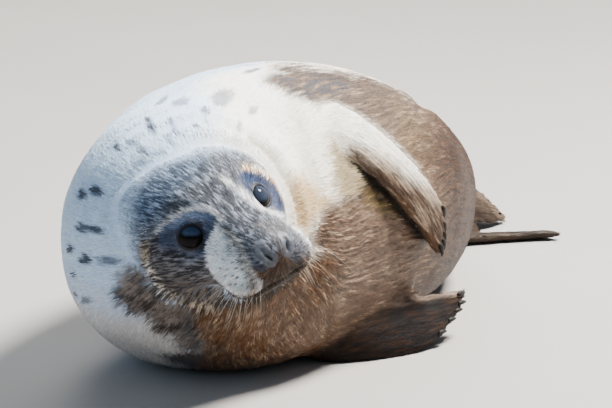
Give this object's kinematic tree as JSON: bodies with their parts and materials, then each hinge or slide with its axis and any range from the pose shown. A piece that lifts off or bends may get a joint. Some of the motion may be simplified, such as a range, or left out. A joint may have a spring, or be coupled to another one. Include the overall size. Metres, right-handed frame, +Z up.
{
  "type": "grey seal model",
  "caption": "Life-size still model of a weaned grey seal pup lying on its side, head turned to face out over its chest.",
  "frame": {"origin": "on the floor, on the flat under the chest that the body lies on, below the shoulders", "axes": "+Z up, +Y along the body from shoulders to hind flippers, +X across the body towards the belly side"},
  "size_m": [0.5834, 1.0316, 0.3201],
  "materials": {
    "coat": "short flat seal fur, silver grey with dark blotches above and cream to wet tan below",
    "nose": "bare dark grey nose skin, slightly moist",
    "eyes": "very dark brown glass eye, polished",
    "keratin": "dark horn of claws, and paler stiff whiskers"
  },
  "bodies": {
    "root": {"neck": "coat", "chest": "coat", "belly": "coat", "hips": "coat", "head": "coat", "muzzle": "coat", "jaw": "coat", "foreflipper_left": "coat", "foreflipper_right": "coat", "hindflipper_right": "coat", "hindflipper_left": "coat", "tail": "coat", "nose": "nose", "eye_left": "eyes", "eye_right": "eyes", "foreflipper_left_claw_1": "keratin", "foreflipper_left_claw_2": "keratin", "foreflipper_left_claw_3": "keratin", "foreflipper_left_claw_4": "keratin", "foreflipper_left_claw_5": "keratin", "foreflipper_right_claw_1": "keratin", "foreflipper_right_claw_2": "keratin", "foreflipper_right_claw_3": "keratin", "foreflipper_right_claw_4": "keratin", "foreflipper_right_claw_5": "keratin", "hindflipper_right_claw_1": "keratin", "hindflipper_right_claw_2": "keratin", "hindflipper_right_claw_3": "keratin", "hindflipper_right_claw_4": "keratin", "hindflipper_right_claw_5": "keratin", "hindflipper_left_claw_1": "keratin", "hindflipper_left_claw_2": "keratin", "hindflipper_left_claw_3": "keratin", "hindflipper_left_claw_4": "keratin", "hindflipper_left_claw_5": "keratin"}
  },
  "joints": []
}
